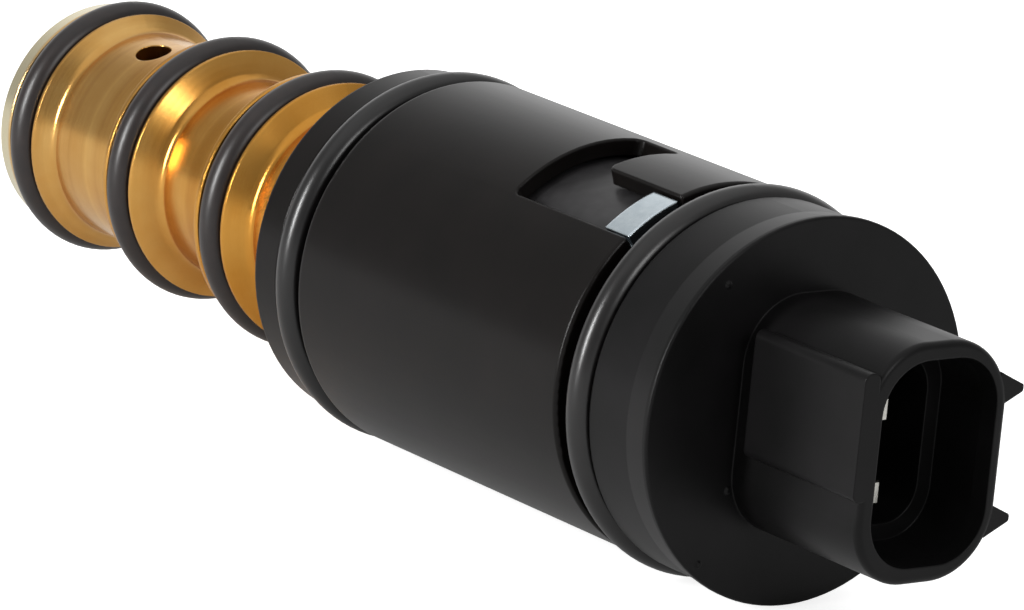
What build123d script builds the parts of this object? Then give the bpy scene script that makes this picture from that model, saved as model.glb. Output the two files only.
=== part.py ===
"""Solenoid control valve of a variable displacement refrigeration compressor.

Millimetres. X is the valve's axis, from the brass nose towards the connector, and Z is up, along the
connector's long side. The origin is on the axis, in the front face of the black steel flange, which is
where the valve seats in the compressor's stepped bore.
"""
import os
from math import atan2, cos, degrees, radians, sin

from build123d import *

os.makedirs("parts", exist_ok=True)

# Driving dimensions of the sealed brass nose
seal_section = 1.9
groove_width = 2.4
nose_end = -34.2
nose_face_radius = 6.55
nose_round_length = 0.9
nose_round_drop = 0.15
seal_x = (-30.88, -19.44, -8.77)
seal_mid_radius = (7.19, 7.51, 7.86)
land_radius = (7.62, 7.93, 8.33)
waist_radius = (6.65, 6.30, 6.95)
land_width = 0.45
rear_land_width = 0.3
edge_break = 0.08
front_cone = 1.0
rear_cone = (1.15, 1.3, 1.3)
waist_root_fillet = 0.7
flange_root_radius = 7.7
flange_root_length = 1.2

# Driving dimensions of the bore through the nose
plug_bore_radius = 5.0
plug_bore_depth = 3.0
spring_chamber_radius = 3.6
spring_chamber_end = -21.6
valve_seat_radius = 1.6
valve_seat_end = -19.6
port_chamber_radius = 2.6
port_chamber_end = -7.4
rod_radius = 1.15
running_gap = 0.05
spigot_radius = 7.8
spigot_end = 4.0
port_radius = 1.15
port_x = (-25.0, -14.2, -3.6)
port_angle = (18.0, 285.0, 195.0)

# Driving dimensions of the solenoid housing
can_radius = 11.4
can_wall = 1.0
can_front = 4.9
can_rear = 30.8
can_front_round = 0.5
can_rear_round = 0.25
flange_radius = 10.9
flange_rear = 2.3
flange_shoulder = 4.5
flange_spigot_end = 8.0
flange_rim_round = 0.25
core_shoulder = 5.2
flange_seal_x = 3.3
flange_seal_mid = 10.55

# Driving dimensions of the window in the can, with angles from the top towards the near side
window_front = 20.0
window_near_angle = 40.5
window_far_angle = -8.5
tongue_front = 23.7
tongue_near_angle = 18.5
window_corner = 0.5
window_edge_break = 0.1

# Driving dimensions of the magnetic circuit
tube_inner_radius = 4.05
tube_wall = 0.4
tube_end = 30.9
tube_end_round = 0.35
core_rear = 17.0
plunger_front = 18.0
plunger_rear = 29.4
plunger_gap = 0.07
coil_front = 8.3
coil_rear = 27.2
coil_flange = 0.9
coil_radius = 8.5
cover_radius = 10.1
cover_rear = 28.2
cover_round = 0.8
pole_front = 28.4
pole_rear = 30.6
pole_tab_radius = 11.15

# Driving dimensions of the moulded cap and its connector
cap_radius = 11.3
cap_rim_radius = 11.55
cap_flare_front = 37.4
cap_flare_rear = 39.2
cap_core_radius = 9.85
cap_front_round = 0.35
cap_face_round = 0.15
cap_flange_front = 33.7
cap_rear = 39.55
cap_seal_x = 32.6
cap_seal_mid = 10.8
mouth_x = 50.9
shroud_width = 10.1
shroud_height = 14.15
shroud_centre = (0.05, 0.07)
shroud_corner_near = 3.9
shroud_corner_far = 4.3
shroud_edge = 0.4
socket_width = 8.1
socket_height = 11.85
socket_centre = (0.16, 0.07)
socket_corner = 3.0
lead_in_width = 0.15
lead_in_depth = 1.2
socket_step_x = 46.1
socket_step_width = 1.0
socket_step_corner = 2.2
socket_floor_x = 41.0
pad_proud = 0.55
pad_front = 41.0
pad_low = -1.8
pad_high = 5.7
pad_corner = 0.5
blade_z = (2.02, -2.88)
blade_height = 1.4
blade_thickness = 0.55
blade_y = -0.05
blade_tip_x = 46.4
lead_z = 6.6
lead_radius = 0.45
lead_insulation = 0.8

# Sketch planes across the axis and along it
ACROSS = Plane.YZ
ALONG = Plane.XZ


def ring_about_axis(points):
    """A turned solid from its half section, given as (x, radius) corners."""
    with BuildPart() as turned:
        with BuildSketch(ALONG):
            with BuildLine():
                Polyline(*points, close=True)
            make_face()
        revolve(axis=Axis.X)
    return turned.part


def seal_ring(at_x, mid_radius, section):
    """An O-ring in its groove: a plain torus about the valve's axis."""
    with BuildPart() as seal:
        with BuildSketch(ALONG):
            with Locations((at_x, mid_radius)):
                Circle(section / 2)
        revolve(axis=Axis.X)
    return seal.part


def coil_spring(front_x, rear_x, mid_radius, wire_radius, turns):
    """A helical compression spring about the valve's axis."""
    length = rear_x - front_x - 2 * wire_radius
    start = front_x + wire_radius
    with BuildPart() as spring:
        with BuildLine():
            wire_path = Helix(
                pitch=length / turns,
                height=length,
                radius=mid_radius,
                center=(start, 0, 0),
                direction=(1, 0, 0),
            )
        with BuildSketch(Plane(origin=wire_path @ 0, z_dir=wire_path % 0)):
            Circle(wire_radius)
        sweep(path=wire_path, is_frenet=True)
    return spring.part


def on_barrel(angle, radius):
    """The (y, z) place on a circle about the axis, from the top towards the near side (-Y)."""
    return (-radius * sin(radians(angle)), radius * cos(radians(angle)))


def save(solid, label):
    solid.label = label
    export_step(solid, f"parts/{label}.step")


# Brass valve body: three stepped seal lands with waists between them
def body_outline():
    """Half section of the brass body, from the nose along its outside to the spigot."""
    outline = [(nose_end, 0)]
    outline.append((nose_end, nose_face_radius))
    outline.append((nose_end + nose_round_length, land_radius[0] - nose_round_drop))
    for i, x in enumerate(seal_x):
        floor = seal_mid_radius[i] - seal_section / 2
        front_wall = x - groove_width / 2
        rear_wall = x + groove_width / 2
        if i > 0:
            outline.append((front_wall - land_width - front_cone, waist_radius[i - 1]))
            outline.append((front_wall - land_width, land_radius[i] - edge_break))
            outline.append((front_wall - land_width + edge_break, land_radius[i]))
        outline.append((front_wall - edge_break, land_radius[i]))
        outline.append((front_wall, land_radius[i] - edge_break))
        outline.append((front_wall, floor))
        outline.append((rear_wall, floor))
        outline.append((rear_wall, land_radius[i] - edge_break))
        outline.append((rear_wall + edge_break, land_radius[i]))
        outline.append((rear_wall + rear_land_width, land_radius[i]))
        outline.append((rear_wall + rear_cone[i], waist_radius[i]))
    outline.append((-flange_root_length, waist_radius[-1]))
    outline.append((0, flange_root_radius))
    outline += [(0, spigot_radius), (spigot_end, spigot_radius), (spigot_end, 0)]
    return outline


with BuildPart() as valve_body:
    with BuildSketch(ALONG):
        with BuildLine():
            Polyline(*body_outline(), close=True)
        make_face()
    revolve(axis=Axis.X)
    waist_roots = valve_body.edges().filter_by(GeomType.CIRCLE).filter_by(
        lambda e: any(
            abs(e.center().X - (x + groove_width / 2 + cone)) < 0.01
            for x, cone in zip(seal_x, rear_cone)
        )
    )
    fillet(waist_roots, radius=waist_root_fillet)
    with BuildSketch(ACROSS.offset(nose_end)):
        Circle(spring_chamber_radius)
    extrude(amount=spring_chamber_end - nose_end, mode=Mode.SUBTRACT)
    with BuildSketch(ACROSS.offset(nose_end)):
        Circle(plug_bore_radius)
    extrude(amount=plug_bore_depth, mode=Mode.SUBTRACT)
    with BuildSketch(ACROSS.offset(spring_chamber_end)):
        Circle(valve_seat_radius)
    extrude(amount=valve_seat_end - spring_chamber_end, mode=Mode.SUBTRACT)
    with BuildSketch(ACROSS.offset(valve_seat_end)):
        Circle(port_chamber_radius)
    extrude(amount=port_chamber_end - valve_seat_end, mode=Mode.SUBTRACT)
    with BuildSketch(ACROSS.offset(port_chamber_end)):
        Circle(rod_radius + running_gap)
    extrude(amount=spigot_end - port_chamber_end, mode=Mode.SUBTRACT)
    for x, angle in zip(port_x, port_angle):
        drill = Plane(
            origin=(x, 0, 0), x_dir=(1, 0, 0), z_dir=(0, -sin(radians(angle)), cos(radians(angle)))
        )
        with BuildSketch(drill):
            Circle(port_radius)
        extrude(amount=can_radius, mode=Mode.SUBTRACT)
    opposite_port = Plane(
        origin=(port_x[0], 0, 0),
        x_dir=(1, 0, 0),
        z_dir=(0, sin(radians(port_angle[0])), -cos(radians(port_angle[0]))),
    )
    with BuildSketch(opposite_port):
        Circle(port_radius)
    extrude(amount=can_radius, mode=Mode.SUBTRACT)
save(valve_body.part, "valve_body")

# End plug of the nose: a slotted brass plug that sets the bias spring
plug_radius = plug_bore_radius - 0.03
plug_depth = plug_bore_depth - 0.1
plug_chamfer = 0.35
plug_slot_width = 1.2
plug_slot_depth = 1.1
plug_hole_radius = 1.5
with BuildPart() as end_plug:
    with BuildSketch(ACROSS.offset(nose_end)):
        Circle(plug_radius)
    extrude(amount=plug_depth)
    chamfer(end_plug.faces().sort_by(Axis.X)[0].edges(), length=plug_chamfer)
    with BuildSketch(ACROSS.offset(nose_end)):
        Rectangle(2 * can_radius, plug_slot_width)
    extrude(amount=plug_slot_depth, mode=Mode.SUBTRACT)
    with BuildSketch(ACROSS.offset(nose_end)):
        Circle(plug_hole_radius)
    extrude(amount=plug_depth, mode=Mode.SUBTRACT)
save(end_plug.part, "end_plug")

# O-rings: three on the brass nose, one behind the flange and one in front of the cap
save(seal_ring(seal_x[0], seal_mid_radius[0], seal_section), "nose_o_ring")
save(seal_ring(seal_x[1], seal_mid_radius[1], seal_section), "middle_o_ring")
save(seal_ring(seal_x[2], seal_mid_radius[2], seal_section), "inner_o_ring")
save(seal_ring(flange_seal_x, flange_seal_mid, seal_section), "flange_o_ring")
save(seal_ring(cap_seal_x, cap_seal_mid, seal_section), "cap_o_ring")

# Valve rod: the poppet head in the spring chamber and the push rod up to the plunger
poppet_radius = 2.5
poppet_nub = 1.2
poppet_rear = spring_chamber_end - 0.1
poppet_front = poppet_rear - 2.6
stem_radius = 0.9
stem_rear = port_chamber_end - 1.5
rod_rear = plunger_front + 1.6
with BuildPart() as valve_rod:
    with BuildSketch(ACROSS.offset(poppet_front)):
        Circle(poppet_radius)
    extrude(amount=poppet_rear - poppet_front)
    chamfer(valve_rod.faces().sort_by(Axis.X)[-1].edges(), length=0.5)
    with BuildSketch(ACROSS.offset(poppet_front - poppet_nub)):
        Circle(poppet_nub)
    extrude(amount=poppet_nub)
    with BuildSketch(ACROSS.offset(poppet_rear)):
        Circle(stem_radius)
    extrude(amount=stem_rear - poppet_rear)
    with BuildSketch(ACROSS.offset(stem_rear)):
        Circle(rod_radius)
    extrude(amount=rod_rear - stem_rear)
save(valve_rod.part, "valve_rod")

# Bias spring between the end plug and the poppet
bias_front = nose_end + plug_depth + 0.05
bias_rear = poppet_front - 0.05
bias_mid_radius = 2.0
bias_wire_radius = 0.3
save(coil_spring(bias_front, bias_rear, bias_mid_radius, bias_wire_radius, turns=5), "bias_spring")

# Front flange: the black steel pole plate that carries the valve body and closes the can
with BuildPart() as front_flange:
    with BuildSketch(ALONG):
        with BuildLine():
            Polyline(
                (0, spigot_radius),
                (0, flange_radius),
                (flange_rear, flange_radius),
                (flange_rear, flange_seal_mid - seal_section / 2),
                (flange_shoulder, flange_seal_mid - seal_section / 2),
                (flange_shoulder, can_radius - can_wall),
                (flange_spigot_end, can_radius - can_wall),
                (flange_spigot_end, tube_inner_radius + tube_wall),
                (core_shoulder, tube_inner_radius + tube_wall),
                (core_shoulder, spigot_radius),
                close=True,
            )
        make_face()
    revolve(axis=Axis.X)
    rim = front_flange.edges().filter_by(GeomType.CIRCLE).filter_by(
        lambda e: abs(e.center().X - flange_rear) < 0.01 and e.radius > flange_radius - 0.01
    )
    fillet(rim, radius=flange_rim_round)
save(front_flange.part, "front_flange")

# Fixed core: the steel pole that the plunger is pulled towards
rod_clearance = 0.15
spring_pocket_radius = 2.75
spring_pocket_depth = 1.6
with BuildPart() as fixed_core:
    with BuildSketch(ACROSS.offset(spigot_end)):
        Circle(spigot_radius)
    extrude(amount=core_shoulder - spigot_end)
    with BuildSketch(ACROSS.offset(core_shoulder)):
        Circle(tube_inner_radius)
    extrude(amount=core_rear - core_shoulder)
    with BuildSketch(ACROSS.offset(spigot_end)):
        Circle(rod_radius + rod_clearance)
    extrude(amount=core_rear - spigot_end, mode=Mode.SUBTRACT)
    with BuildSketch(ACROSS.offset(core_rear - spring_pocket_depth)):
        Circle(spring_pocket_radius)
    extrude(amount=spring_pocket_depth, mode=Mode.SUBTRACT)
save(fixed_core.part, "fixed_core")

# Guide tube: the thin stainless cup in which the plunger slides
with BuildPart() as guide_tube:
    with BuildSketch(ACROSS.offset(core_shoulder)):
        Circle(tube_inner_radius + tube_wall)
    extrude(amount=tube_end - core_shoulder)
    fillet(guide_tube.faces().sort_by(Axis.X)[-1].edges(), radius=tube_end_round)
    with BuildSketch(ACROSS.offset(core_shoulder)):
        Circle(tube_inner_radius)
    extrude(amount=tube_end - tube_wall - core_shoulder, mode=Mode.SUBTRACT)
save(guide_tube.part, "guide_tube")

# Plunger: the sliding armature, hollow at its front for the rod and the return spring
plunger_radius = tube_inner_radius - plunger_gap
plunger_chamfer = 0.25
vent_radius = 0.6
with BuildPart() as plunger:
    with BuildSketch(ACROSS.offset(plunger_front)):
        Circle(plunger_radius)
    extrude(amount=plunger_rear - plunger_front)
    chamfer(plunger.edges().filter_by(GeomType.CIRCLE), length=plunger_chamfer)
    with BuildSketch(ACROSS.offset(plunger_front)):
        Circle(spring_pocket_radius)
    extrude(amount=spring_pocket_depth, mode=Mode.SUBTRACT)
    for angle in (90, 270):
        with BuildSketch(ACROSS.offset(plunger_front)):
            with Locations(on_barrel(angle, plunger_radius)):
                Circle(vent_radius)
        extrude(amount=plunger_rear - plunger_front, mode=Mode.SUBTRACT)
save(plunger.part, "plunger")

# Return spring between the core's pocket and the plunger's pocket
return_front = core_rear - spring_pocket_depth + 0.03
return_rear = plunger_front + spring_pocket_depth - 0.03
return_mid_radius = 2.1
return_wire_radius = 0.25
return_spring = coil_spring(return_front, return_rear, return_mid_radius, return_wire_radius, turns=4)
save(return_spring, "return_spring")

# Stop disc at the closed end of the guide tube
stop_front = plunger_rear + 0.15
stop_radius = tube_inner_radius - 0.02
stop_hole_radius = 1.6
with BuildPart() as stop_disc:
    with BuildSketch(ACROSS.offset(stop_front)):
        Circle(stop_radius)
        Circle(stop_hole_radius, mode=Mode.SUBTRACT)
    extrude(amount=tube_end - tube_wall - stop_front)
save(stop_disc.part, "stop_disc")

# Bobbin: the moulded spool of the coil
bobbin_bore = tube_inner_radius + tube_wall + 0.1
hub_radius = bobbin_bore + 0.8
winding_radius = coil_radius - 0.3
save(
    ring_about_axis(
        [
            (coil_front, bobbin_bore),
            (coil_front, coil_radius),
            (coil_front + coil_flange, coil_radius),
            (coil_front + coil_flange, hub_radius),
            (coil_rear - coil_flange, hub_radius),
            (coil_rear - coil_flange, coil_radius),
            (coil_rear, coil_radius),
            (coil_rear, bobbin_bore),
        ]
    ),
    "bobbin",
)

# Winding: the copper coil as its outer shape
save(
    ring_about_axis(
        [
            (coil_front + coil_flange, hub_radius),
            (coil_front + coil_flange, winding_radius),
            (coil_rear - coil_flange, winding_radius),
            (coil_rear - coil_flange, hub_radius),
        ]
    ),
    "coil_winding",
)

# Coil cover: the resin sleeve round the winding, which shows in the can's window
with BuildPart() as coil_cover:
    with BuildSketch(ACROSS.offset(coil_front)):
        Circle(cover_radius)
    extrude(amount=cover_rear - coil_front)
    fillet(coil_cover.faces().sort_by(Axis.X)[-1].edges(), radius=cover_round)
    with BuildSketch(ACROSS.offset(coil_front)):
        Circle(coil_radius)
    extrude(amount=coil_rear - coil_front, mode=Mode.SUBTRACT)
    with BuildSketch(ACROSS.offset(coil_front)):
        Circle(bobbin_bore)
    extrude(amount=cover_rear - coil_front, mode=Mode.SUBTRACT)
    with BuildSketch(ACROSS.offset(coil_rear)):
        with GridLocations(0, 2 * lead_z, 1, 2):
            Circle(lead_radius)
    extrude(amount=cover_rear - coil_rear, mode=Mode.SUBTRACT)
save(coil_cover.part, "coil_cover")


# Housing can: the deep-drawn steel tube with an L-shaped window open to its rear edge
def barrel_sector(front, rear, near_angle, far_angle):
    """A wedge about the axis between two angles, as a cutter or a key for the can's wall."""
    reach = can_radius + 4
    middle = (near_angle + far_angle) / 2
    with BuildPart() as sector:
        with BuildSketch(ACROSS.offset(front)):
            with BuildLine():
                Polyline(
                    (0, 0),
                    on_barrel(far_angle, reach),
                    on_barrel(middle, reach),
                    on_barrel(near_angle, reach),
                    close=True,
                )
            make_face()
        extrude(amount=rear - front)
    return sector.part


window_strip = barrel_sector(window_front, tongue_front, window_near_angle, window_far_angle)
window_slot = barrel_sector(window_front, can_rear + 1, window_near_angle, tongue_near_angle)
with BuildPart() as housing_can:
    with BuildSketch(ACROSS.offset(can_front)):
        Circle(can_radius)
    extrude(amount=can_rear - can_front)
    fillet(housing_can.faces().sort_by(Axis.X)[0].edges(), radius=can_front_round)
    fillet(housing_can.faces().sort_by(Axis.X)[-1].edges(), radius=can_rear_round)
    with BuildSketch(ACROSS.offset(can_front)):
        Circle(can_radius - can_wall)
    extrude(amount=can_rear - can_front, mode=Mode.SUBTRACT)
    add(window_strip, mode=Mode.SUBTRACT)
    add(window_slot, mode=Mode.SUBTRACT)
    corners = housing_can.edges().filter_by(
        lambda e: e.length < 1.3 * can_wall
        and window_front - 0.1 < e.center().X < tongue_front + 0.1
        and e.center().Z > 0
    )
    fillet(corners, radius=window_corner)
    outer_edges = housing_can.edges().filter_by(
        lambda e: window_front - 0.1 < e.center().X < can_rear - 0.3
        and e.center().Z > 0
        and all(abs((e @ t).Y ** 2 + (e @ t).Z ** 2 - can_radius**2) < 0.02 for t in (0, 0.5, 1))
    )
    chamfer(outer_edges, length=window_edge_break)
save(housing_can.part, "housing_can")

# Rear pole plate: the zinc-plated steel disc whose key fills the window's open slot
key_clearance = 1.2
key_root_radius = can_radius - can_wall - 0.5
key_slot = barrel_sector(
    pole_front, pole_rear, window_near_angle - key_clearance, tongue_near_angle + key_clearance
)
with BuildPart() as key_ring:
    with BuildSketch(ACROSS.offset(pole_front)):
        Circle(pole_tab_radius)
        Circle(key_root_radius, mode=Mode.SUBTRACT)
    extrude(amount=pole_rear - pole_front)
    add(key_slot, mode=Mode.INTERSECT)
with BuildPart() as rear_pole_plate:
    with BuildSketch(ACROSS.offset(pole_front)):
        Circle(can_radius - can_wall)
        Circle(tube_inner_radius + tube_wall, mode=Mode.SUBTRACT)
    extrude(amount=pole_rear - pole_front)
    add(key_ring.part)
    with BuildSketch(ACROSS.offset(pole_front)):
        with GridLocations(0, 2 * lead_z, 1, 2):
            Circle(lead_radius + lead_insulation)
    extrude(amount=pole_rear - pole_front, mode=Mode.SUBTRACT)
save(rear_pole_plate.part, "rear_pole_plate")


# Terminals: two flat blades, each cranked from its coil lead to its place in the connector
crank_x = 36.0
crank_width = 1.2
head_margin = 0.6
blade_tip_break = 0.1


def terminal(side, centre_z):
    """One tinned blade with its round coil lead; side is +1 for the upper one, -1 for the lower."""
    inner_z = centre_z - side * blade_height / 2
    outer_z = centre_z + side * blade_height / 2
    head_z = side * (lead_z + head_margin)
    with BuildPart() as blade:
        with BuildSketch(Plane.XZ.offset(-blade_y - blade_thickness / 2)):
            with BuildLine():
                Polyline(
                    (crank_x, head_z),
                    (crank_x, inner_z),
                    (blade_tip_x, inner_z),
                    (blade_tip_x, outer_z),
                    (crank_x + crank_width, outer_z),
                    (crank_x + crank_width, head_z),
                    close=True,
                )
            make_face()
        extrude(amount=blade_thickness)
        tip_edges = blade.faces().sort_by(Axis.X)[-1].edges()
        chamfer(tip_edges, length=blade_tip_break)
        with BuildSketch(ACROSS.offset(coil_rear)):
            with Locations((0, side * lead_z)):
                Circle(lead_radius)
        extrude(amount=crank_x - coil_rear + crank_width / 2)
    return blade.part


terminal_upper = terminal(1, blade_z[0])
terminal_lower = terminal(-1, blade_z[1])
save(terminal_upper, "terminal_upper")
save(terminal_lower, "terminal_lower")


# Connector cap: the moulded plug that closes the can and forms the two-blade connector
lug_z = (3.97, -3.67)
lug_reach = 1.15
lug_half = 0.75
lug_tip = 0.2
lug_tip_round = 0.18
lug_root = 0.6
lug_root_flare = 0.3
lug_front = 42.6
lug_rear = 50.8
pip_places = ((-6.7, 8.03), (-6.8, -8.45), (-5.2, -4.2))
pip_radius = 0.22
pip_height = 0.12
tube_recess_radius = tube_inner_radius + tube_wall + 0.3
tube_recess = 0.6
pip_taper = 30
with BuildPart() as connector_cap:
    with BuildSketch(ALONG):
        with BuildLine():
            Polyline(
                (pole_rear, 0),
                (pole_rear, cap_core_radius),
                (cap_flange_front, cap_core_radius),
                (cap_flange_front, cap_radius),
                (cap_flare_front, cap_radius),
                (cap_flare_rear, cap_rim_radius),
                (cap_rear, cap_rim_radius),
                (cap_rear, 0),
                close=True,
            )
        make_face()
    revolve(axis=Axis.X)
    circles = connector_cap.edges().filter_by(GeomType.CIRCLE)
    front_rim = circles.filter_by(lambda e: abs(e.center().X - cap_flange_front) < 0.01 and e.radius > 11)
    fillet(front_rim, radius=cap_front_round)
    face_rim = connector_cap.faces().sort_by(Axis.X)[-1].edges()
    fillet(face_rim, radius=cap_face_round)
    with BuildSketch(ACROSS.offset(cap_rear)):
        with Locations(*pip_places):
            Circle(pip_radius)
    extrude(amount=pip_height, taper=pip_taper)
    with BuildSketch(ACROSS.offset(cap_rear)) as shroud_section:
        with Locations(shroud_centre):
            Rectangle(shroud_width, shroud_height)
        fillet(shroud_section.vertices().group_by(Axis.X)[-1], radius=shroud_corner_far)
        fillet(shroud_section.vertices().group_by(Axis.X)[0], radius=shroud_corner_near)
    extrude(amount=mouth_x - cap_rear)
    mouth_edge = connector_cap.faces().sort_by(Axis.X)[-1].edges()
    fillet(mouth_edge, radius=shroud_edge)
    near_wall = shroud_centre[0] - shroud_width / 2
    with BuildSketch(ACROSS.offset(pad_front)):
        with Locations((near_wall, (pad_high + pad_low) / 2)):
            RectangleRounded(2 * pad_proud, pad_high - pad_low, pad_corner)
    extrude(amount=mouth_x - pad_front)
    far_wall = shroud_centre[0] + shroud_width / 2
    for z in lug_z:
        with BuildSketch(ACROSS.offset(lug_front)) as lug_section:
            with BuildLine():
                Polyline(
                    (far_wall - lug_root, z + lug_half + lug_root_flare),
                    (far_wall, z + lug_half),
                    (far_wall + lug_reach, z + lug_tip),
                    (far_wall + lug_reach, z - lug_tip),
                    (far_wall, z - lug_half),
                    (far_wall - lug_root, z - lug_half - lug_root_flare),
                    close=True,
                )
            make_face()
            fillet(lug_section.vertices().group_by(Axis.X)[-1], radius=lug_tip_round)
        extrude(amount=lug_rear - lug_front)
    with BuildSketch(ACROSS.offset(mouth_x)):
        with Locations(socket_centre):
            RectangleRounded(
                socket_width + 2 * lead_in_width,
                socket_height + 2 * lead_in_width,
                socket_corner + lead_in_width,
            )
    lead_in_taper = degrees(atan2(lead_in_width, lead_in_depth))
    extrude(amount=-lead_in_depth, taper=lead_in_taper, mode=Mode.SUBTRACT)
    with BuildSketch(ACROSS.offset(mouth_x)):
        with Locations(socket_centre):
            RectangleRounded(socket_width, socket_height, socket_corner)
    extrude(amount=socket_step_x - mouth_x, mode=Mode.SUBTRACT)
    with BuildSketch(ACROSS.offset(socket_step_x)):
        with Locations(socket_centre):
            RectangleRounded(
                socket_width - 2 * socket_step_width,
                socket_height - 2 * socket_step_width,
                socket_step_corner,
            )
    extrude(amount=socket_floor_x - socket_step_x, mode=Mode.SUBTRACT)
    with BuildSketch(ACROSS.offset(pole_rear)):
        Circle(tube_recess_radius)
    extrude(amount=tube_recess, mode=Mode.SUBTRACT)
    add(terminal_upper, mode=Mode.SUBTRACT)
    add(terminal_lower, mode=Mode.SUBTRACT)
save(connector_cap.part, "connector_cap")
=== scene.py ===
"""Looks of a refrigeration compressor's solenoid control valve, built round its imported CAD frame.

Metres. X runs along the valve from the brass nose to the connector, Z is up.
"""
import math

import bmesh
import bpy
from mathutils import Matrix, Vector


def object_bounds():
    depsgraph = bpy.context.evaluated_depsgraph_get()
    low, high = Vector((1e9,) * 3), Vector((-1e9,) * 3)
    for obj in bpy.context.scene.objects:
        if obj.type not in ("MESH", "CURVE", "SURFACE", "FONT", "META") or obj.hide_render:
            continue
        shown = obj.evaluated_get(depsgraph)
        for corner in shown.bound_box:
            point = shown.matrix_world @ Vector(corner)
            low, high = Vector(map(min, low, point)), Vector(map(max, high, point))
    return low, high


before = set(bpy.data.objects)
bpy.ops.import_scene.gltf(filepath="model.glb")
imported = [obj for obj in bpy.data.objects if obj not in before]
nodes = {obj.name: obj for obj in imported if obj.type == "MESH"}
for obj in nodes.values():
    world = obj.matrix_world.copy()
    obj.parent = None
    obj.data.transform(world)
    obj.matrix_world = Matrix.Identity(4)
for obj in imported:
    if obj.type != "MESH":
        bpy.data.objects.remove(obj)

cad_low, cad_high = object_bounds()
MM = 0.001
bpy.context.scene.view_settings.view_transform = "Standard"


# Camera: a long lens in front of the connector, a little above the valve
camera_place = Vector((377.6, -286.3, 114.9)) * MM
camera_right = Vector((0.5943, 0.7984, 0.0946))
camera_back = Vector((0.7645, -0.5977, 0.2418))
camera_lens = 281.25

camera_data = bpy.data.cameras.new("photo_camera")
camera_data.lens = camera_lens
camera_data.sensor_width = 36.0
camera_data.clip_start = 0.01
camera_data.clip_end = 10.0
camera = bpy.data.objects.new("photo_camera", camera_data)
back = camera_back.normalized()
right = (camera_right - back * camera_right.dot(back)).normalized()
up = back.cross(right)
camera.matrix_world = Matrix.Translation(camera_place) @ Matrix((right, up, back)).transposed().to_4x4()
bpy.context.scene.collection.objects.link(camera)
bpy.context.scene.camera = camera


# Materials
def linear(hex_colour):
    """An sRGB hex colour as linear RGBA."""
    channels = [int(hex_colour[i : i + 2], 16) / 255 for i in (1, 3, 5)]
    out = [c / 12.92 if c <= 0.04045 else ((c + 0.055) / 1.055) ** 2.4 for c in channels]
    return (*out, 1.0)


def node(tree, kind, settings=None, inputs=None, links=None):
    """Add one shader node with its settings, input values and incoming links."""
    made = tree.nodes.new(kind)
    for key, value in (settings or {}).items():
        setattr(made, key, value)
    for key, value in (inputs or {}).items():
        made.inputs[key].default_value = value
    for key, source in (links or {}).items():
        tree.links.new(source, made.inputs[key])
    return made


def ramp(tree, source, stops):
    """A colour ramp fed by source; stops are (place, hex colour)."""
    made = node(tree, "ShaderNodeValToRGB", links={"Fac": source})
    elements = made.color_ramp.elements
    while len(elements) < len(stops):
        elements.new(0.5)
    for element, (place, colour) in zip(elements, stops):
        element.position = place
        element.color = linear(colour)
    return made.outputs["Color"]


def new_material(name, **sockets):
    """A material with one Principled BSDF, its fixed sockets set directly."""
    material = bpy.data.materials.new(name)
    material.use_nodes = True
    tree = material.node_tree
    shader = tree.nodes["Principled BSDF"]
    for key, value in sockets.items():
        shader.inputs[key.replace("_", " ")].default_value = value
    return material, tree, shader


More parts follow.
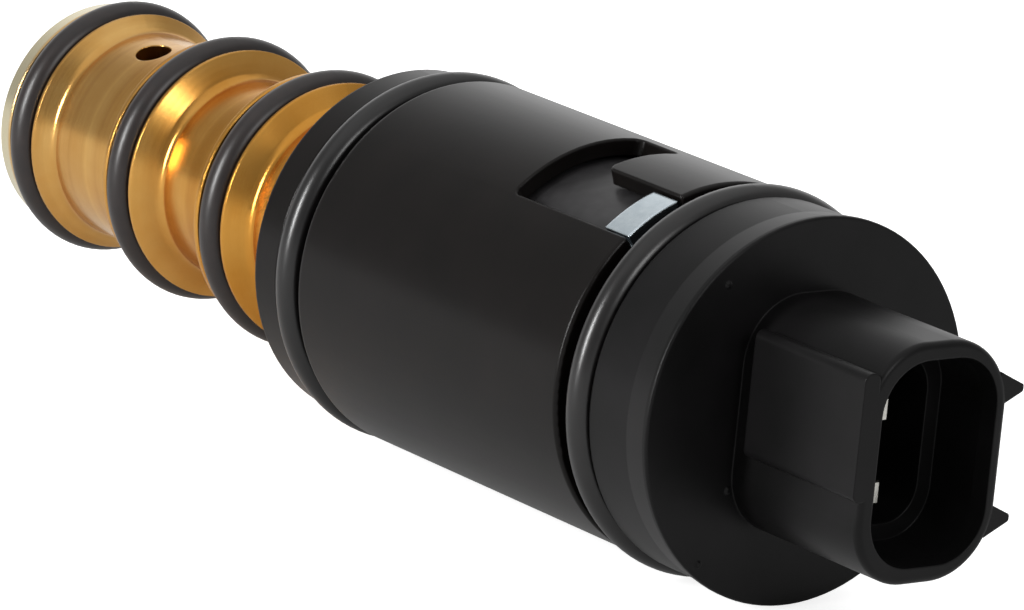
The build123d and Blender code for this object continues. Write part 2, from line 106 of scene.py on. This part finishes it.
def turned_brass():
    """Free-cutting brass, turned on a lathe: fine rings round the axis draw its highlights out along X."""
    material, tree, shader = new_material("turned_brass", Metallic=1.0, Anisotropic=0.4)
    place = node(tree, "ShaderNodeTexCoord").outputs["Object"]
    split = node(tree, "ShaderNodeSeparateXYZ", links={"Vector": place})
    along = node(tree, "ShaderNodeCombineXYZ", links={"X": split.outputs["X"]})
    tool_marks = node(
        tree, "ShaderNodeTexNoise", {"noise_dimensions": "3D"},
        {"Scale": 1 / (0.16 * MM), "Detail": 4.0, "Roughness": 0.7},
        {"Vector": along.outputs["Vector"]},
    )
    feed_bands = node(
        tree, "ShaderNodeTexNoise", {"noise_dimensions": "3D"}, {"Scale": 1 / (1.1 * MM), "Detail": 2.0},
        {"Vector": along.outputs["Vector"]},
    )
    stain = node(
        tree, "ShaderNodeTexNoise", None, {"Scale": 1 / (5.0 * MM), "Detail": 5.0, "Roughness": 0.6},
        {"Vector": place},
    )
    base = ramp(tree, stain.outputs["Fac"], [(0.3, "#d6a65a"), (0.7, "#e4bd78")])
    # The brass tone runs from a paler, greyer gold near the nose to amber towards the flange.
    toward_flange = node(
        tree, "ShaderNodeMapRange", None, {"From Min": -28.0 * MM, "From Max": -6.0 * MM},
        {"Value": split.outputs["X"]},
    )
    amber_toward_flange_tint = ramp(tree, toward_flange.outputs["Result"], [(0.0, "#f3ede6"), (1.0, "#f5dfae")])
    banded = node(
        tree, "ShaderNodeMix", {"data_type": "RGBA", "blend_type": "MULTIPLY"}, {"Factor": 1.0},
        {"A": base, "B": ramp(tree, feed_bands.outputs["Fac"], [(0.3, "#e4d8cc"), (0.7, "#ffffff")])},
    )
    flange_tinted = node(
        tree, "ShaderNodeMix", {"data_type": "RGBA", "blend_type": "MULTIPLY"}, {"Factor": 1.0},
        {"A": banded.outputs["Result"], "B": amber_toward_flange_tint},
    )
    # Painted reflection: the nose's end is painted a pale khaki that stands for the white backdrop its brass
    # reflects at a grazing angle.
    nose_painted_reflection = node(
        tree, "ShaderNodeMapRange", None, {"From Min": -32.4 * MM, "From Max": -32.0 * MM, "To Min": 1.0, "To Max": 0.0},
        {"Value": split.outputs["X"]},
    )
    nose_reflection_painted = node(
        tree, "ShaderNodeMix", {"data_type": "RGBA"}, {"B": linear("#d3c9a9")},
        {"Factor": nose_painted_reflection.outputs["Result"], "A": flange_tinted.outputs["Result"]},
    )
    tree.links.new(nose_reflection_painted.outputs["Result"], shader.inputs["Base Color"])
    rough = node(
        tree, "ShaderNodeMapRange", None, {"From Min": 0.3, "From Max": 0.7, "To Min": 0.17, "To Max": 0.27},
        {"Value": tool_marks.outputs["Fac"]},
    )
    tree.links.new(rough.outputs["Result"], shader.inputs["Roughness"])
    around = node(tree, "ShaderNodeTangent", {"direction_type": "RADIAL", "axis": "X"})
    tree.links.new(around.outputs["Tangent"], shader.inputs["Tangent"])
    broken_edge = node(tree, "ShaderNodeBevel", {"samples": 6}, {"Radius": 0.14 * MM})
    bump = node(
        tree, "ShaderNodeBump", None, {"Strength": 0.2, "Distance": 0.01 * MM},
        {"Height": tool_marks.outputs["Fac"], "Normal": broken_edge.outputs["Normal"]},
    )
    tree.links.new(bump.outputs["Normal"], shader.inputs["Normal"])
    return material


def plug_brass():
    """Nickel-washed brass: the end plug is paler and greyer than the body."""
    material, tree, shader = new_material("plug_brass", Metallic=1.0, Roughness=0.3)
    place = node(tree, "ShaderNodeTexCoord").outputs["Object"]
    grain = node(tree, "ShaderNodeTexNoise", None, {"Scale": 1 / (0.4 * MM), "Detail": 3.0}, {"Vector": place})
    tree.links.new(
        ramp(tree, grain.outputs["Fac"], [(0.3, "#b3ae93"), (0.7, "#c9c3a4")]), shader.inputs["Base Color"]
    )
    return material


def seal_rubber(name, dark, light, roughness):
    """Moulded rubber seal: near black, with a soft sheen that its dust breaks up a little."""
    material, tree, shader = new_material(name, Roughness=roughness, IOR=1.52)
    place = node(tree, "ShaderNodeTexCoord").outputs["Object"]
    dust = node(
        tree, "ShaderNodeTexNoise", None, {"Scale": 1 / (1.2 * MM), "Detail": 5.0, "Roughness": 0.6},
        {"Vector": place},
    )
    tree.links.new(ramp(tree, dust.outputs["Fac"], [(0.35, dark), (0.75, light)]), shader.inputs["Base Color"])
    skin = node(tree, "ShaderNodeTexNoise", None, {"Scale": 1 / (0.12 * MM), "Detail": 2.0}, {"Vector": place})
    bump = node(
        tree, "ShaderNodeBump", None, {"Strength": 0.15, "Distance": 0.01 * MM}, {"Height": skin.outputs["Fac"]}
    )
    tree.links.new(bump.outputs["Normal"], shader.inputs["Normal"])
    return material


def coated_steel():
    """Deep-drawn steel with a black electrophoretic coat: smooth, semi-gloss, a slight orange peel."""
    material, tree, shader = new_material(
        "coated_steel", Roughness=0.28, IOR=1.5, Specular_IOR_Level=0.16
    )
    place = node(tree, "ShaderNodeTexCoord").outputs["Object"]
    cloud = node(tree, "ShaderNodeTexNoise", None, {"Scale": 1 / (5.0 * MM), "Detail": 4.0}, {"Vector": place})
    tree.links.new(
        ramp(tree, cloud.outputs["Fac"], [(0.35, "#0b0908"), (0.7, "#100d0c")]), shader.inputs["Base Color"]
    )
    peel = node(
        tree, "ShaderNodeTexNoise", None, {"Scale": 1 / (0.5 * MM), "Detail": 3.0, "Roughness": 0.5},
        {"Vector": place},
    )
    coated_edge = node(tree, "ShaderNodeBevel", {"samples": 6}, {"Radius": 0.16 * MM})
    bump = node(
        tree, "ShaderNodeBump", None, {"Strength": 0.12, "Distance": 0.02 * MM},
        {"Height": peel.outputs["Fac"], "Normal": coated_edge.outputs["Normal"]},
    )
    tree.links.new(bump.outputs["Normal"], shader.inputs["Normal"])
    return material


def moulded_nylon():
    """Glass-filled nylon, moulded black: a fine spark-eroded grain that dulls its highlights."""
    material, tree, shader = new_material("moulded_nylon", Roughness=0.36, IOR=1.5, Specular_IOR_Level=0.16)
    place = node(tree, "ShaderNodeTexCoord").outputs["Object"]
    flow = node(tree, "ShaderNodeTexNoise", None, {"Scale": 1 / (4.0 * MM), "Detail": 4.0}, {"Vector": place})
    tree.links.new(
        ramp(tree, flow.outputs["Fac"], [(0.35, "#0a0a0a"), (0.7, "#100f10")]), shader.inputs["Base Color"]
    )
    grain = node(
        tree, "ShaderNodeTexNoise", None, {"Scale": 1 / (0.15 * MM), "Detail": 2.0, "Roughness": 0.6},
        {"Vector": place},
    )
    moulded_edge = node(tree, "ShaderNodeBevel", {"samples": 6}, {"Radius": 0.15 * MM})
    bump = node(
        tree, "ShaderNodeBump", None, {"Strength": 0.2, "Distance": 0.012 * MM},
        {"Height": grain.outputs["Fac"], "Normal": moulded_edge.outputs["Normal"]},
    )
    tree.links.new(bump.outputs["Normal"], shader.inputs["Normal"])
    return material


def zinc_plated_steel():
    """Bright zinc plate on pressed steel: cool silver with faint spangle."""
    material, tree, shader = new_material("zinc_plated_steel", Metallic=1.0, Roughness=0.25)
    place = node(tree, "ShaderNodeTexCoord").outputs["Object"]
    grain = node(tree, "ShaderNodeTexNoise", None, {"Scale": 1 / (0.6 * MM), "Detail": 4.0}, {"Vector": place})
    tree.links.new(
        ramp(tree, grain.outputs["Fac"], [(0.3, "#d0dce3"), (0.7, "#dde8ee")]), shader.inputs["Base Color"]
    )
    pressed_edge = node(tree, "ShaderNodeBevel", {"samples": 6}, {"Radius": 0.2 * MM})
    tree.links.new(pressed_edge.outputs["Normal"], shader.inputs["Normal"])
    return material


def coil_resin():
    """Cast epoxy over the winding: dark grey, with a slightly uneven satin skin."""
    material, tree, shader = new_material("coil_resin", Roughness=0.38, IOR=1.55, Specular_IOR_Level=0.3)
    place = node(tree, "ShaderNodeTexCoord").outputs["Object"]
    grain = node(tree, "ShaderNodeTexNoise", None, {"Scale": 1 / (0.8 * MM), "Detail": 4.0}, {"Vector": place})
    tree.links.new(
        ramp(tree, grain.outputs["Fac"], [(0.3, "#232223"), (0.7, "#2e2d2e")]), shader.inputs["Base Color"]
    )
    bump = node(
        tree, "ShaderNodeBump", None, {"Strength": 0.2, "Distance": 0.02 * MM}, {"Height": grain.outputs["Fac"]}
    )
    tree.links.new(bump.outputs["Normal"], shader.inputs["Normal"])
    return material


def plain_metal(name, dark, light, roughness, grain_mm):
    """A bare metal piece with fine, uneven grain; its two tones bound the variation."""
    material, tree, shader = new_material(name, Metallic=1.0, Roughness=roughness)
    place = node(tree, "ShaderNodeTexCoord").outputs["Object"]
    grain = node(
        tree, "ShaderNodeTexNoise", None, {"Scale": 1 / (grain_mm * MM), "Detail": 3.0}, {"Vector": place}
    )
    tree.links.new(ramp(tree, grain.outputs["Fac"], [(0.3, dark), (0.7, light)]), shader.inputs["Base Color"])
    return material


def enamelled_copper():
    """Wound copper wire under clear enamel: fine turns about 0.3 mm apart, round the axis."""
    material, tree, shader = new_material("enamelled_copper", Metallic=1.0, Roughness=0.3)
    place = node(tree, "ShaderNodeTexCoord").outputs["Object"]
    turns = node(
        tree, "ShaderNodeTexWave", {"bands_direction": "X"}, {"Scale": 1 / (0.3 * MM) / 20, "Distortion": 0.0},
        {"Vector": place},
    )
    tree.links.new(
        ramp(tree, turns.outputs["Fac"], [(0.1, "#6b3018"), (0.9, "#c2703e")]), shader.inputs["Base Color"]
    )
    return material


def bobbin_nylon():
    """Plain moulded nylon of the hidden spool: dark grey and matt."""
    material, tree, shader = new_material("bobbin_nylon", Roughness=0.5, IOR=1.53)
    place = node(tree, "ShaderNodeTexCoord").outputs["Object"]
    grain = node(tree, "ShaderNodeTexNoise", None, {"Scale": 1 / (0.3 * MM), "Detail": 3.0}, {"Vector": place})
    tree.links.new(
        ramp(tree, grain.outputs["Fac"], [(0.3, "#2b2a29"), (0.7, "#363433")]), shader.inputs["Base Color"]
    )
    return material


def finish_node(name, material):
    """Give a carried-over CAD node one finish."""
    mesh = nodes[name].data
    mesh.materials.clear()
    mesh.materials.append(material)


# Painted reflection: the nose rings get a brown tint in their colour that stands for the brass they reflect; the
# large rings stay plain black.
nose_rubber_painted_brass_sheen = seal_rubber("nitrile_seal", "#150f0e", "#211816", 0.36)
large_rubber = seal_rubber("black_nitrile_seal", "#090808", "#100e0e", 0.3)
black_steel = coated_steel()
spring_wire = plain_metal("spring_wire", "#6f6c68", "#8d8a85", 0.3, 0.2)
tinned = plain_metal("tinned_brass", "#cfcdc6", "#e8e6df", 0.22, 0.3)
finish_node("valve_body", turned_brass())
finish_node("end_plug", plug_brass())
for ring_name in ("nose_o_ring", "middle_o_ring", "inner_o_ring"):
    finish_node(ring_name, nose_rubber_painted_brass_sheen)
for ring_name in ("flange_o_ring", "cap_o_ring"):
    finish_node(ring_name, large_rubber)
finish_node("front_flange", black_steel)
finish_node("housing_can", black_steel)
finish_node("connector_cap", moulded_nylon())
finish_node("rear_pole_plate", zinc_plated_steel())
finish_node("coil_cover", coil_resin())
finish_node("terminal_upper", tinned)
finish_node("terminal_lower", tinned)
finish_node("bias_spring", spring_wire)
finish_node("return_spring", spring_wire)
finish_node("valve_rod", plain_metal("ground_stainless", "#9a9894", "#b5b3ae", 0.15, 0.5))
finish_node("fixed_core", plain_metal("soft_iron_core", "#77746f", "#8c8984", 0.35, 0.4))
finish_node("plunger", plain_metal("nickel_plated_iron", "#a5a199", "#bcb8b0", 0.2, 0.4))
finish_node("guide_tube", plain_metal("drawn_stainless", "#908e8a", "#a7a5a1", 0.28, 0.5))
finish_node("stop_disc", plain_metal("phosphor_bronze", "#8f6234", "#a87843", 0.3, 0.4))
finish_node("bobbin", bobbin_nylon())
finish_node("coil_winding", enamelled_copper())


# Floor: a pale sheet that runs out of sight, lit to white where the valve throws no shadow
floor_height = cad_low.z
floor_reach = 3.0
floor_mesh = bpy.data.meshes.new("floor")
floor_mesh.from_pydata(
    [(-floor_reach, -floor_reach, floor_height), (floor_reach, -floor_reach, floor_height),
     (floor_reach, floor_reach, floor_height), (-floor_reach, floor_reach, floor_height)],
    [], [(0, 1, 2, 3)],
)
floor = bpy.data.objects.new("floor", floor_mesh)
bpy.context.scene.collection.objects.link(floor)
floor_material = bpy.data.materials.new("pale_floor")
floor_material.use_nodes = True
floor_tree = floor_material.node_tree
floor_shader = floor_tree.nodes["Principled BSDF"]
floor_shader.inputs["Base Color"].default_value = linear("#e4e4e4")
floor_shader.inputs["Roughness"].default_value = 0.9
floor_shader.inputs["Emission Color"].default_value = (1, 1, 1, 1)
seen = node(floor_tree, "ShaderNodeLightPath")
camera_lift = node(
    floor_tree, "ShaderNodeMath", {"operation": "MULTIPLY"}, {1: 0.8}, {0: seen.outputs["Is Camera Ray"]}
)
glossy_lift = node(
    floor_tree, "ShaderNodeMath", {"operation": "MULTIPLY"}, {1: 0.1}, {0: seen.outputs["Is Glossy Ray"]}
)
lift = node(
    floor_tree, "ShaderNodeMath", {"operation": "ADD"},
    links={0: camera_lift.outputs["Value"], 1: glossy_lift.outputs["Value"]},
)
floor_tree.links.new(lift.outputs["Value"], floor_shader.inputs["Emission Strength"])
floor_mesh.materials.append(floor_material)

# World: a white backdrop behind the valve, half dark overhead and dark where the photographer stands
world = bpy.data.worlds.new("light_tent")
bpy.context.scene.world = world
world.use_nodes = True
world_tree = world.node_tree
world_tree.nodes.clear()
toward = node(world_tree, "ShaderNodeTexCoord").outputs["Generated"]
facing = node(
    world_tree, "ShaderNodeVectorMath", {"operation": "DOT_PRODUCT"}, {1: tuple(camera_back)}, {0: toward}
)
backdrop = node(
    world_tree, "ShaderNodeMapRange", {"interpolation_type": "SMOOTHSTEP"},
    {"From Min": -0.85, "From Max": -0.4, "To Min": 1.15, "To Max": 0.45}, {"Value": facing.outputs["Value"]},
)
dark_side = node(
    world_tree, "ShaderNodeMapRange", {"interpolation_type": "SMOOTHSTEP"},
    {"From Min": 0.0, "From Max": 0.8, "To Min": 1.0, "To Max": 0.8}, {"Value": facing.outputs["Value"]},
)
shaded = node(
    world_tree, "ShaderNodeMath", {"operation": "MULTIPLY"},
    links={0: backdrop.outputs["Result"], 1: dark_side.outputs["Result"]},
)
height = node(world_tree, "ShaderNodeSeparateXYZ", links={"Vector": toward})
overhead = node(
    world_tree, "ShaderNodeMapRange", {"interpolation_type": "SMOOTHSTEP"},
    {"From Min": 0.5, "From Max": 0.85, "To Min": 0.0, "To Max": 0.95}, {"Value": height.outputs["Z"]},
)
tent_light = node(
    world_tree, "ShaderNodeMath", {"operation": "MAXIMUM"},
    links={0: shaded.outputs["Value"], 1: overhead.outputs["Result"]},
)
path = node(world_tree, "ShaderNodeLightPath")
tent_level = node(
    world_tree, "ShaderNodeMix", {"data_type": "FLOAT"}, {"B": 1.0},
    {"Factor": path.outputs["Is Camera Ray"], "A": tent_light.outputs["Value"]},
)
tent = node(
    world_tree, "ShaderNodeBackground", None, {"Color": (1, 1, 1, 1)}, {"Strength": tent_level.outputs["Result"]}
)
world_out = node(world_tree, "ShaderNodeOutputWorld", links={"Surface": tent.outputs["Background"]})


# Lamps
def softbox(name, place_mm, size_mm, watts):
    """A soft rectangular lamp aimed at the middle of the valve."""
    data = bpy.data.lights.new(name, "AREA")
    data.shape = "RECTANGLE"
    data.size = size_mm[0] * MM
    data.size_y = size_mm[1] * MM
    data.energy = watts
    lamp = bpy.data.objects.new(name, data)
    lamp.location = Vector(place_mm) * MM
    aim = Vector((0.008, 0, 0)) - lamp.location
    lamp.rotation_mode = "QUATERNION"
    lamp.rotation_quaternion = aim.to_track_quat("-Z", "Y")
    bpy.context.scene.collection.objects.link(lamp)
    return lamp


softbox("key_near", (-45, -400, 115), (50, 180), 1.5)
softbox("front_fill", (520, -60, 260), (160, 120), 0.6)
